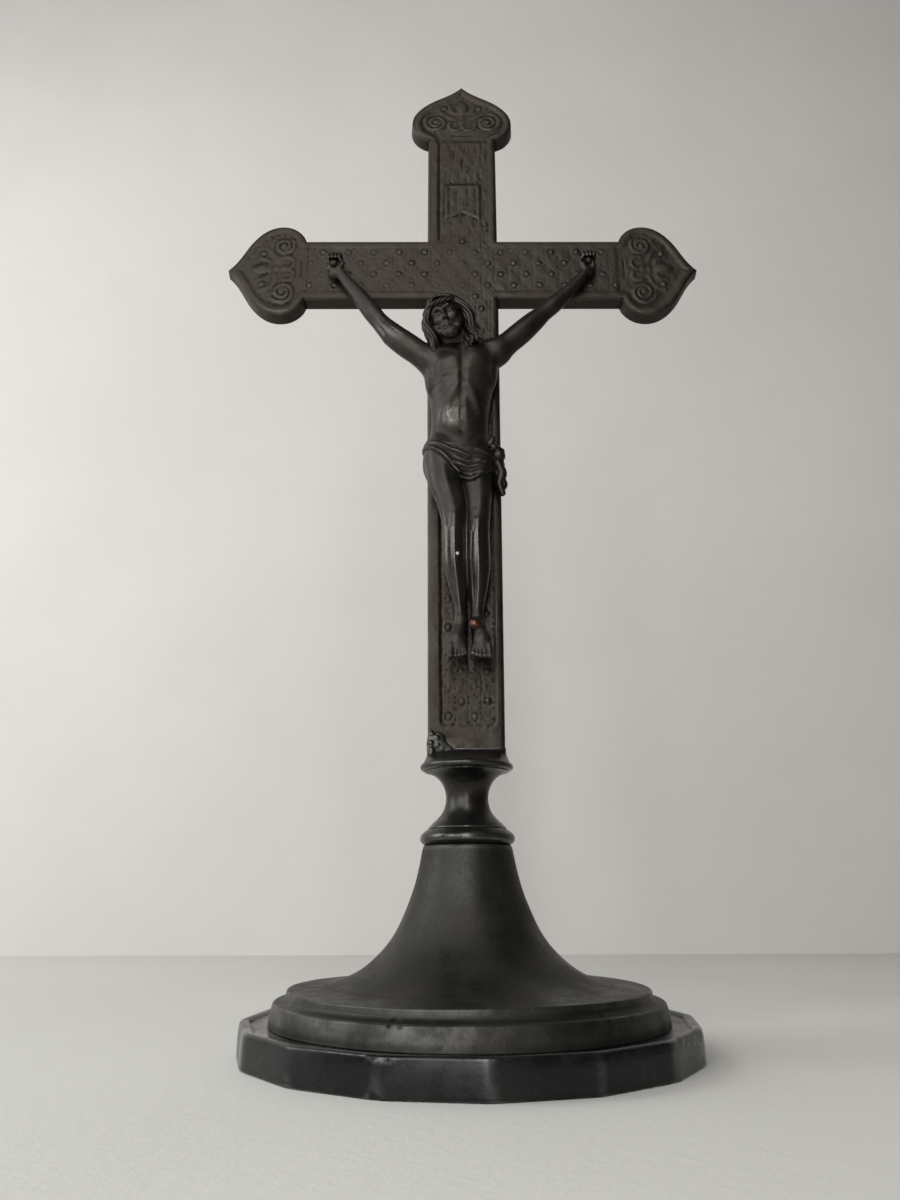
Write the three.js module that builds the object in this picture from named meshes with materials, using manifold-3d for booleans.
// Altar cross: a cast table crucifix on a belled, faceted foot. Millimetres, +Z up, the figure faces -Y.
import * as THREE from "three";
import { mergeVertices } from "three/addons/utils/BufferGeometryUtils.js";
import Module from "manifold-3d";

const wasm = await Module();
wasm.setup();

// Driving dimensions
const GAP = 0.3; // clearance between touching pieces
const FACETS = 16; // flats round the foot ring
const FOOT_TURN = THREE.MathUtils.degToRad(3); // the foot is screwed up slightly out of square
const FOOT_R = 68.7; // foot ring, to the corners
const LEDGE_Z = 8.6; // sunk ledge that carries the bell
const BELL_TOP_Z = 59.1;
const BEAD_TOP_Z = 64;
const SPOOL_TOP_Z = 82.3;
const COLLAR_R = 15;
const SEAT_TOP_Z = 89.2; // top of the collar, where the beam stands
const ROD_R = 2;
const ROD_HOLE_R = 2.5;

const CROSS_Z = 273.85; // centre of the crossing
const ARM_LENGTH = 91.2; // centre to tip, the same for the three upper arms
const ARM_HALF = 13.8; // half width of the three upper arms, at the back
const BEAM_FOOT_HALF = 12.8; // half width of the beam at its foot, at the back
const TERMINAL_START = 60.6; // centre to the notch under a terminal
const LOBE_HALF = 20.7; // half width across a terminal's lobes
const TOP_SHORTER = 0.94; // the top terminal is cast a little shorter than the two at the sides
const CROSS_DEPTH = 6;
const FRONT_Y = -CROSS_DEPTH / 2;
const DRAFT = 0.8; // the sides slope in towards the front
const RIM = 3.7; // from the outline at the back to the sunk field
const FIELD_DEPTH = 0.5;
const FIELD_Y = FRONT_Y + FIELD_DEPTH;
const FIELD_FOOT_Z = 96; // the pattern stops here above a plain block
const CELL = 4.92; // diaper pattern of the arms
const CELL_ROW = 5.05;
const PATTERN_LIFT = 0.6; // the pattern sits a little above the middle of the arms
const BEAM_COLUMN = 4.3;
const BEAM_PATTERN_X = 0.6; // and a little to one side on the beam
const STUD_R = 1.05;
const STUD_HEIGHT = 0.4;
const HOLLOW_HALF = 9.4; // half width of the hollow cast into the back
const HOLLOW_FRONT_Y = -1.6;
const BACK_PLATE = 1.2;

const NAIL_R = 0.7;
const NAIL_HOLE_R = 1;
const HAND_LEFT = [-49.1, 273.2];
const HAND_RIGHT = [48, 274.4];
const FOOT_NAIL = [3.0, 128.8];

const BANNER_Z0 = 297.5; // swallowtail end of the banner on the upper arm
const BANNER_Z1 = 313.8;

function toSolid(geometry) {
  const plain = geometry.index ? geometry.toNonIndexed() : geometry.clone();
  plain.deleteAttribute("normal");
  plain.deleteAttribute("uv");
  const merged = mergeVertices(plain, 1e-4);
  return new wasm.Manifold(
    new wasm.Mesh({
      numProp: 3,
      vertProperties: merged.attributes.position.array,
      triVerts: new Uint32Array(merged.index.array),
    }),
  );
}

function toGeometry(solid) {
  const mesh = solid.getMesh();
  const geometry = new THREE.BufferGeometry();
  const count = mesh.numVert;
  const positions = new Float32Array(count * 3);
  for (let i = 0; i < count; i += 1) {
    positions.set(mesh.vertProperties.subarray(i * mesh.numProp, i * mesh.numProp + 3), i * 3);
  }
  geometry.setAttribute("position", new THREE.BufferAttribute(positions, 3));
  geometry.setIndex(new THREE.BufferAttribute(new Uint32Array(mesh.triVerts), 1));
  geometry.computeVertexNormals();
  return geometry;
}

// A profile of [radius, height] pairs, turned about the Z axis.
function turned(profile, segments, turn = 0) {
  const points = profile.map(([r, z]) => new THREE.Vector2(r, z));
  const geometry = new THREE.LatheGeometry(points, segments, turn);
  return toSolid(geometry.rotateX(Math.PI / 2));
}

// A cylinder along Z between two heights.
function upright(radius, z0, z1, segments = 20) {
  const geometry = new THREE.CylinderGeometry(radius, radius, z1 - z0, segments);
  return toSolid(geometry.rotateX(Math.PI / 2).translate(0, 0, (z0 + z1) / 2));
}

// A cylinder along Y at [x, z] between two depths; radiusFront is at the smaller y.
function across(radiusFront, radiusBack, [x, z], y0, y1, segments = 12) {
  const geometry = new THREE.CylinderGeometry(radiusBack, radiusFront, y1 - y0, segments);
  return toSolid(geometry.translate(x, (y0 + y1) / 2, z));
}

function box(x0, x1, y0, y1, z0, z1) {
  const geometry = new THREE.BoxGeometry(x1 - x0, y1 - y0, z1 - z0);
  return toSolid(geometry.translate((x0 + x1) / 2, (y0 + y1) / 2, (z0 + z1) / 2));
}

// A drawing in x and z, extruded along Y between two depths.
function slab(shape, y0, y1) {
  const options = { depth: y1 - y0, bevelEnabled: false, curveSegments: 5 };
  const geometry = new THREE.ExtrudeGeometry(shape, options);
  return toSolid(geometry.rotateX(Math.PI / 2).translate(0, y1, 0));
}

// As slab, but the sides slope: the drawing is the front, and the back is wider by the draft.
function draftedSlab(shape, y0, y1, draft) {
  const depth = y1 - y0;
  const spare = 1;
  const options = { depth: spare, bevelThickness: depth, bevelSize: draft, bevelSegments: 1, curveSegments: 5 };
  const geometry = new THREE.ExtrudeGeometry(shape, options);
  const both = toSolid(geometry.rotateX(Math.PI / 2).translate(0, y1 + spare, 0));
  return both.subtract(box(-200, 200, y1, y1 + 2 * depth + spare, 0, 500));
}

function unionOf(solids) {
  return solids.reduce((all, next) => all.add(next));
}

// Foot -----------------------------------------------------------------------------------------

function footRing() {
  return turned(
    [
      [65.4, 0],
      [FOOT_R, 0],
      [68.4, 6.6],
      [67.9, 8.7],
      [67, 9.5],
      [65.9, 9.5],
      [64.8, LEDGE_Z],
      [55, LEDGE_Z],
      [55, 6.6],
      [62.6, 6.6],
      [64.8, 4.4],
      [65.4, 0],
    ],
    FACETS,
    FOOT_TURN,
  );
}

function bell() {
  const outside = [
    [59.3, LEDGE_Z + GAP],
    [59.2, 10.6],
    [58.6, 12.6],
    [57.7, 13.9],
    [55.8, 14.6],
    [54.6, 15.8],
    [54.2, 17],
    [53.4, 17.4],
    [47.5, 17.9],
    [42, 18.9],
    [37.2, 20.5],
    [32.5, 23],
    [28, 26.6],
    [24.5, 30.4],
    [21.8, 34.5],
    [19.6, 39.2],
    [17.7, 43.9],
    [16.2, 48.7],
    [15.1, 53.5],
    [14.2, 57.8],
    [13.8, BELL_TOP_Z],
  ];
  const inside = [
    [ROD_HOLE_R, BELL_TOP_Z],
    [ROD_HOLE_R, 56.4],
    [12, 56.4],
    [14, 48],
    [17.3, 38.5],
    [22.3, 29.8],
    [30, 22],
    [39, 17.4],
    [51.6, 15.2],
    [52.6, 13.2],
    [56, 11.6],
    [56.8, LEDGE_Z + GAP],
    [59.3, LEDGE_Z + GAP],
  ];
  return turned([...outside, ...inside], 36);
}

function neckBead() {
  const z = BELL_TOP_Z + GAP;
  return turned(
    [
      [ROD_HOLE_R, z],
      [13.6, z],
      [14.7, z + 0.6],
      [COLLAR_R, z + 1.5],
      [COLLAR_R, z + 2.3],
      [14.5, z + 3.4],
      [13.5, z + 4.2],
      [12.6, BEAD_TOP_Z],
      [ROD_HOLE_R, BEAD_TOP_Z],
      [ROD_HOLE_R, z],
    ],
    32,
  );
}

function neckSpool() {
  const z = BEAD_TOP_Z + GAP;
  return turned(
    [
      [ROD_HOLE_R, z],
      [12.6, z],
      [12.4, z + 0.6],
      [11, 66],
      [9.4, 67.4],
      [8, 69.1],
      [7.1, 71.1],
      [6.75, 73.4],
      [7.1, 76],
      [7.9, 77.9],
      [9.1, 79.6],
      [11, 81.1],
      [13.6, SPOOL_TOP_Z],
      [ROD_HOLE_R, SPOOL_TOP_Z],
      [ROD_HOLE_R, z],
    ],
    32,
  );
}

// The collar's round rim draws in to the flat foot of the beam.
function beamSeat() {
  const z0 = SPOOL_TOP_Z + GAP;
  const rim = turned(
    [
      [0, z0],
      [14.4, z0],
      [COLLAR_R, z0 + 0.6],
      [COLLAR_R, z0 + 1.7],
      [14.6, z0 + 2.3],
      [0, z0 + 2.3],
    ],
    32,
  );
  const drawZ = z0 + 2;
  const height = SEAT_TOP_Z - drawZ;
  const draw = new THREE.CylinderGeometry(1, 1, height, 32, 4).rotateX(Math.PI / 2);
  draw.translate(0, 0, drawZ + height / 2);
  const position = draw.attributes.position;
  for (let i = 0; i < position.count; i += 1) {
    const x = position.getX(i);
    const y = position.getY(i);
    const rise = (position.getZ(i) - drawZ) / height;
    const ease = 1 - (1 - rise) ** 2;
    const flat = Math.max(Math.abs(x), Math.abs(y), 1e-6);
    const toBox = Math.hypot(x, y) > 0.5 ? 1 / flat : 0;
    const round = COLLAR_R - 0.5;
    const sideways = THREE.MathUtils.lerp(round, BEAM_FOOT_HALF * toBox, ease);
    const deep = THREE.MathUtils.lerp(round, -FRONT_Y * toBox, ease);
    position.setX(i, x * sideways);
    position.setY(i, y * deep);
  }
  const bore = upright(ROD_HOLE_R, z0 - 1, SEAT_TOP_Z + 1);
  const slot = box(-5, 5, -1.8, 1.8, z0 + 1.4, SEAT_TOP_Z + 1);
  return rim.add(toSolid(draw)).subtract(bore).subtract(slot);
}

// The lumpy solder that a repair left where the beam meets its collar.
function solderRepair() {
  const lumps = [
    [-10.6, -2.6, 93.4, 1.9],
    [-9.4, -3, 91, 2],
    [-11.6, -2.6, 90.8, 1.6],
    [-10.9, -3.6, 88.4, 1.5],
  ].map(([x, y, z, r]) => {
    const ball = new THREE.SphereGeometry(r, 10, 7).scale(1, 0.8, 1);
    return toSolid(ball.translate(x, y - 1, z));
  });
  const beam = slab(crossShape(-GAP, SEAT_TOP_Z - 2), FRONT_Y - GAP, 10);
  const clearance = [
    [-GAP, 0, 0],
    [0, -GAP, 0],
    [0, -GAP, GAP],
    [0, 0, GAP],
  ].map((shift) => beamSeat().translate(shift));
  return unionOf(lumps).subtract(beam).subtract(unionOf(clearance));
}

// Iron tie rod: its upper end is forged flat and lies in the hollow of the beam.
function tieRod() {
  const rod = upright(ROD_R, 1.6, 87, 16);
  const flat = box(-4.6, 4.6, -1.4, 1.4, 85, 124);
  return rod.add(flat);
}

function clampPlate() {
  return turned(
    [
      [ROD_HOLE_R, 4.9],
      [61.4, 4.9],
      [61.4, 6.3],
      [ROD_HOLE_R, 6.3],
      [ROD_HOLE_R, 4.9],
    ],
    36,
  );
}

function washer() {
  return upright(6, 3.9, 4.7, 20).subtract(upright(ROD_HOLE_R, 3, 5.5));
}

function nut() {
  return upright(4.3, 1.2, 3.7, 6).subtract(upright(ROD_R + 0.15, 0.5, 4.5, 16));
}

// Cross ----------------------------------------------------------------------------------------

// Adds one ogee terminal to a drawing, as seen with the arm pointing along +z. The notch is on
// the arm's edge, the lobe is the widest place and the flanks draw in to the point.
function terminalPath(path, place, inset) {
  const half = ARM_HALF - inset;
  const lobe = LOBE_HALF - inset;
  const start = TERMINAL_START + 0.8 * inset;
  const tip = ARM_LENGTH - 1.2 * inset;
  const side = [
    [[17.4 - inset, start + 1], [lobe, 65.2 + 0.3 * inset], [lobe, 70.2]],
    [[lobe, 75.6 - 0.2 * inset], [17.3 - inset, 79.4 - 0.5 * inset], [12.8 - 0.8 * inset, 82.5 - 0.7 * inset]],
    [[9 - 0.6 * inset, 85.3 - inset], [4.9 - 0.4 * inset, 87.2 - 1.1 * inset], [0, tip]],
  ];
  path.lineTo(...place(half, start));
  side.forEach(([a, b, c]) => path.bezierCurveTo(...place(...a), ...place(...b), ...place(...c)));
  const points = [[half, start], ...side.flat()].map(([x, z]) => [-x, z]).reverse();
  for (let i = 1; i < points.length; i += 3) {
    path.bezierCurveTo(...place(...points[i]), ...place(...points[i + 1]), ...place(...points[i + 2]));
  }
}

// Where a point of the top terminal lies, from its place across and along the arm.
function onTopArm(x, z) {
  return [x, CROSS_Z + ARM_LENGTH - (ARM_LENGTH - z) * TOP_SHORTER];
}

// The whole cross in outline, drawn in from its edge by an inset.
function crossShape(inset, footZ) {
  const half = ARM_HALF - inset;
  const footHalf = BEAM_FOOT_HALF - inset;
  const shape = new THREE.Shape();
  shape.moveTo(footHalf, footZ);
  shape.lineTo(half, CROSS_Z - half);
  terminalPath(shape, (x, z) => [z, CROSS_Z - x], inset);
  shape.lineTo(half, CROSS_Z + half);
  terminalPath(shape, onTopArm, inset);
  shape.lineTo(-half, CROSS_Z + half);
  terminalPath(shape, (x, z) => [-z, CROSS_Z + x], inset);
  shape.lineTo(-half, CROSS_Z - half);
  shape.lineTo(-footHalf, footZ);
  shape.closePath();
  return shape;
}

// Two bars laid across each other, the shape of the hollow and of the plate that closes it.
function barsShape(half, footZ, reach) {
  const shape = new THREE.Shape();
  const low = CROSS_Z - half;
  const high = CROSS_Z + half;
  shape.moveTo(-half, footZ);
  shape.lineTo(half, footZ);
  shape.lineTo(half, low);
  shape.lineTo(reach, low);
  shape.lineTo(reach, high);
  shape.lineTo(half, high);
  shape.lineTo(half, CROSS_Z + reach);
  shape.lineTo(-half, CROSS_Z + reach);
  shape.lineTo(-half, high);
  shape.lineTo(-reach, high);
  shape.lineTo(-reach, low);
  shape.lineTo(-half, low);
  shape.closePath();
  return shape;
}

function stud(x, z) {
  return across(STUD_R * 0.55, STUD_R, [x, z], FIELD_Y - STUD_HEIGHT, FIELD_Y + 0.2, 6);
}

// Every second square of the diaper pattern holds a stud, left out under the banner.
function studs() {
  const made = [];
  const armColumns = 11;
  const rowsAcross = 4;
  for (let column = -armColumns; column <= armColumns; column += 1) {
    for (let row = 0; row < rowsAcross; row += 1) {
      if ((column + row) % 2 === 0) {
        made.push(stud(column * CELL, CROSS_Z + PATTERN_LIFT + (row - 1.5) * CELL_ROW));
      }
    }
  }
  const beamRows = 32;
  for (let step = 0; step < beamRows; step += 1) {
    for (let column = 0; column < rowsAcross; column += 1) {
      const z = FIELD_FOOT_Z + 3.8 + step * CELL_ROW;
      if ((step + column) % 2 === 0 && z < CROSS_Z - 11.5) {
        made.push(stud(BEAM_PATTERN_X + (column - 1.5) * BEAM_COLUMN, z));
      }
    }
  }
  const upperRows = 9;
  for (let step = 0; step < upperRows; step += 1) {
    const z = CROSS_Z + PATTERN_LIFT + (step + 2.5) * CELL_ROW;
    const underBanner = z > BANNER_Z0 - 1.5 && z < BANNER_Z1 + 1.5;
    for (let column = 0; column < rowsAcross && !underBanner; column += 1) {
      if ((step + column) % 2 === 1) {
        made.push(stud((column - 1.5) * BEAM_COLUMN, z));
      }
    }
  }
  return made;
}

// A scroll: a raised ring with a boss at its eye.
function scroll(x, z) {
  const ring = across(3.4, 3.6, [x, z], FIELD_Y - 0.4, FIELD_Y + 0.2, 16);
  const eye = across(2.3, 2.1, [x, z], FIELD_Y - 1, FIELD_Y + 0.1, 12);
  const boss = across(0.8, 1.1, [x, z], FIELD_Y - 0.4, FIELD_Y + 0.2, 8);
  return ring.subtract(eye).add(boss);
}

// Two scrolls, a bud with leaves and two pellets fill each terminal.
function ornament(place) {
  const leaf = [
    [0, 80.4, 2.3],
    [-3.2, 76.8, 1.4],
    [3.2, 76.8, 1.4],
    [0, 75.4, 1.5],
    [-6.6, 78.4, 0.9],
    [6.6, 78.4, 0.9],
  ];
  const lobes = leaf.map(([x, z, r]) => {
    return across(r * 0.6, r, place(x, z), FIELD_Y - 0.4, FIELD_Y + 0.2, 10);
  });
  return [scroll(...place(-10.7, 70.4)), scroll(...place(10.7, 70.4)), ...lobes];
}

function bannerShape() {
  const shape = new THREE.Shape();
  shape.moveTo(-6.9, BANNER_Z0);
  shape.lineTo(0, BANNER_Z0 + 3);
  shape.lineTo(6.9, BANNER_Z0);
  shape.lineTo(6.9, BANNER_Z1);
  shape.lineTo(-6.9, BANNER_Z1);
  shape.closePath();
  return shape;
}

function nailHoles(y0, y1) {
  const places = [HAND_LEFT, HAND_RIGHT, FOOT_NAIL];
  return unionOf(places.map((place) => across(NAIL_HOLE_R, NAIL_HOLE_R, place, y0, y1)));
}

function crossFront() {
  const foot = SEAT_TOP_Z + GAP;
  const body = draftedSlab(crossShape(DRAFT, foot + DRAFT), FRONT_Y, -FRONT_Y, DRAFT);
  const field = slab(crossShape(RIM, FIELD_FOOT_Z), FRONT_Y - 1, FIELD_Y);
  const hollow = slab(barsShape(HOLLOW_HALF, foot + 2.6, 74), HOLLOW_FRONT_Y, CROSS_DEPTH);
  const tangWay = box(-5, 5, HOLLOW_FRONT_Y - 0.1, 1.8, foot - 1, foot + 4);
  const raised = unionOf([
    ...studs(),
    ...ornament(onTopArm),
    ...ornament((x, z) => [z, CROSS_Z + x]),
    ...ornament((x, z) => [-z, CROSS_Z + x]),
    slab(bannerShape(), FIELD_Y - 0.35, FIELD_Y + 0.2),
  ]);
  return body
    .subtract(field)
    .add(raised)
    .subtract(hollow)
    .subtract(tangWay)
    .subtract(nailHoles(FRONT_Y - 2, HOLLOW_FRONT_Y + 1));
}

function crossBack() {
  const y0 = -FRONT_Y - BACK_PLATE;
  return slab(barsShape(HOLLOW_HALF - GAP, SEAT_TOP_Z + 2.6 + 2 * GAP, 74 - GAP), y0, -FRONT_Y);
}

// Nails ----------------------------------------------------------------------------------------

// A nail driven in along Y; its shank ends inside the hollow of the cross.
function nail(place, seatY, headR) {
  const back = seatY - GAP;
  const shank = across(NAIL_R, NAIL_R, place, back - 0.2, HOLLOW_FRONT_Y + 1.3, 10);
  const brim = across(headR * 0.85, headR, place, back - headR * 0.4, back, 12);
  const dome = across(headR * 0.45, headR * 0.85, place, back - headR * 0.7, back - headR * 0.4, 12);
  return unionOf([brim, dome, shank]);
}

// Figure ---------------------------------------------------------------------------------------

// A rounded, tapering limb between two points.
function limb(from, to, r0, r1, flatten = 1) {
  const start = new THREE.Vector3(...from);
  const along = new THREE.Vector3(...to).sub(start);
  const length = along.length();
  const profile = [
    [0, -r0],
    [0.6 * r0, -0.8 * r0],
    [0.92 * r0, -0.38 * r0],
    [r0, 0],
    [r1, length],
    [0.92 * r1, length + 0.38 * r1],
    [0.6 * r1, length + 0.8 * r1],
    [0, length + r1],
  ].map(([r, h]) => new THREE.Vector2(r, h));
  const geometry = new THREE.LatheGeometry(profile, 9).scale(1, 1, flatten);
  const turn = new THREE.Quaternion().setFromUnitVectors(new THREE.Vector3(0, 1, 0), along.normalize());
  geometry.applyQuaternion(turn).translate(...from);
  return toSolid(geometry);
}

function lump([x, y, z], [rx, ry, rz], lean = 0) {
  const geometry = new THREE.SphereGeometry(1, 12, 9).scale(rx, ry, rz);
  return toSolid(geometry.rotateY(lean).translate(x, y, z));
}

function head() {
  return [
    limb([-1.4, -10.4, 228], [-3.8, -13.2, 238], 3.9, 3.4),
    lump([-6.2, -15.2, 242.8], [5.6, 6.4, 7.6], -0.26),
    lump([-7.4, -18, 237.4], [3.4, 3.4, 3.4]),
    lump([-5.9, -13, 244.4], [8.6, 6.8, 8.2], -0.26),
    limb([-11.6, -13.6, 241], [-12.2, -11.8, 231.6], 3.3, 2.3),
    limb([2.6, -13.6, 241], [4.8, -11.8, 231.6], 3.3, 2.3),
  ];
}

function trunk() {
  return [
    lump([-0.6, -10, 222.4], [11.8, 6.2, 12]),
    limb([-11.4, -9, 229.6], [11.4, -9, 232.6], 4.8, 4.8),
    limb([-1.4, -9.4, 214], [-1.8, -9.2, 199], 10.2, 10.6, 0.55),
    lump([-2.2, -9.8, 190.6], [12.8, 6.4, 9.6]),
    lump([-2, -10.8, 183.6], [10.8, 6.2, 7.6]),
    lump([11.2, -9.6, 189.6], [3.2, 3.8, 3.6]),
    limb([11.6, -8.2, 187], [12.4, -6.6, 178], 2.3, 2.2),
  ];
}

function arms() {
  const sides = [
    [HAND_LEFT, [-46, -6.4, 268.4], [-31.2, -8, 246.4], [-13.4, -9, 230.6]],
    [HAND_RIGHT, [46, -6.4, 268.6], [28, -8, 247.2], [13.4, -9, 234.4]],
  ];
  return sides.flatMap(([hand, wrist, elbow, shoulder]) => [
    limb(shoulder, elbow, 5, 3.7),
    limb(elbow, wrist, 3.9, 2.5),
    lump([hand[0], -6.2, hand[1]], [3.6, 2, 4.2]),
  ]);
}

function legs() {
  const sides = [
    [[-7, -9.8, 187], [-4.8, -13, 164.5], [-5, -10.4, 150], [-3.4, -8.4, 131], [-3.7, -11.4, 119.2]],
    [[4.4, -9.8, 186], [4.2, -13.4, 164.5], [4.4, -10.6, 149], [3.6, -8.6, 131], [4.7, -11.8, 119.2]],
  ];
  return sides.flatMap(([hip, knee, calf, ankle, toe]) => [
    limb(hip, knee, 6.1, 3.8),
    limb(knee, calf, 3.6, 3.7),
    limb(calf, ankle, 3.6, 2.3),
    limb(ankle, toe, 2.5, 2.9),
    limb([ankle[0], -5.6, ankle[2] - 1], [ankle[0], -7.4, ankle[2] - 7], 2.6, 2.4),
  ]);
}

function corpus() {
  const behind = box(-80, 80, FRONT_Y - GAP, 40, 90, 300);
  const body = unionOf([...trunk(), ...head(), ...arms(), ...legs()]);
  return body.subtract(behind).subtract(nailHoles(-30, 0));
}

// Assembly -------------------------------------------------------------------------------------

const SPELTER = { color: 0x3b3733, metalness: 0.8, roughness: 0.5 };
const IRON = { color: 0x5a5550, metalness: 0.9, roughness: 0.5 };
const COPPER = { color: 0x9a5a3c, metalness: 1, roughness: 0.4 };
const SOLDER = { color: 0x6e6b66, metalness: 0.9, roughness: 0.4 };

const PIECES = [
  ["foot_ring", footRing, SPELTER],
  ["bell_foot", bell, SPELTER],
  ["clamp_plate", clampPlate, IRON],
  ["rod_washer", washer, IRON],
  ["rod_nut", nut, IRON],
  ["tie_rod", tieRod, IRON],
  ["neck_bead", neckBead, SPELTER],
  ["neck_spool", neckSpool, SPELTER],
  ["beam_seat", beamSeat, SPELTER],
  ["solder_repair", solderRepair, SOLDER],
  ["cross_front", crossFront, SPELTER],
  ["cross_back_plate", crossBack, SPELTER],
  ["corpus", corpus, SPELTER],
  ["hand_nail_left", () => nail(HAND_LEFT, -8.2, 1.5), SPELTER],
  ["hand_nail_right", () => nail(HAND_RIGHT, -8.2, 1.5), SPELTER],
  ["foot_nail", () => nail(FOOT_NAIL, -12.9, 1.6), COPPER],
];

const cross = new THREE.Group();
for (const [name, make, look] of PIECES) {
  const mesh = new THREE.Mesh(toGeometry(make()), new THREE.MeshStandardMaterial(look));
  mesh.name = name;
  cross.add(mesh);
}

export default cross;
